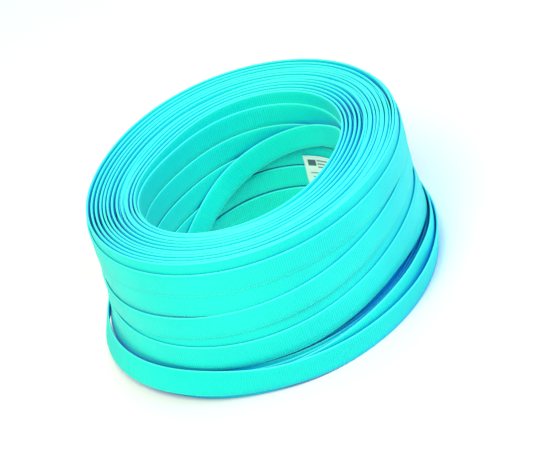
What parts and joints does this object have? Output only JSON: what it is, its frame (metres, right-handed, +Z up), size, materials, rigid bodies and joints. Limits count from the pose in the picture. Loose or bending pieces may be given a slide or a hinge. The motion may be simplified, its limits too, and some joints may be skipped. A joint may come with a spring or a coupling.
{
  "type": "roll of flat sling webbing",
  "caption": "Coreless oval roll of narrow flat woven webbing, wound level turn beside turn, with loose outer turns round its foot, a slack inner turn, two free ends and a plain label in the hole.",
  "frame": {"origin": "on the coil's axis, in the plane of the foot that the roll stands on", "axes": "+Z up along the coil's axis, +X along the oval coil's long axis"},
  "size_m": [0.3823, 0.3312, 0.154],
  "materials": {
    "webbing": "woven polyester with a light sheen",
    "label": "smooth printed film"
  },
  "bodies": {
    "coil": {"layer_01": "webbing", "layer_02": "webbing", "layer_03": "webbing", "layer_04": "webbing", "layer_05": "webbing", "layer_06": "webbing", "layer_07": "webbing", "layer_08": "webbing", "layer_09": "webbing", "layer_10": "webbing", "layer_11": "webbing", "layer_12": "webbing", "layer_13": "webbing", "loose_turn_upper": "webbing", "loose_turn_lower": "webbing", "inner_turn": "webbing", "label": "label"},
    "outer_end": {"outer_end": "webbing"},
    "inner_end": {"inner_end": "webbing"}
  },
  "joints": [
    {"name": "outer_end_bend", "type": "hinge", "parent": "coil", "child": "outer_end", "pos_m": [0.18772, 0.0333, 0.0126], "axis": [0, 0, -1], "range_deg": [0, 60], "stiffness_Nm_per_rad": 0.015},
    {"name": "inner_end_bend", "type": "hinge", "parent": "coil", "child": "inner_end", "pos_m": [0.04444, -0.08767, 0.1315], "axis": [0, 0, -1], "range_deg": [0, 40], "stiffness_Nm_per_rad": 0.015}
  ]
}
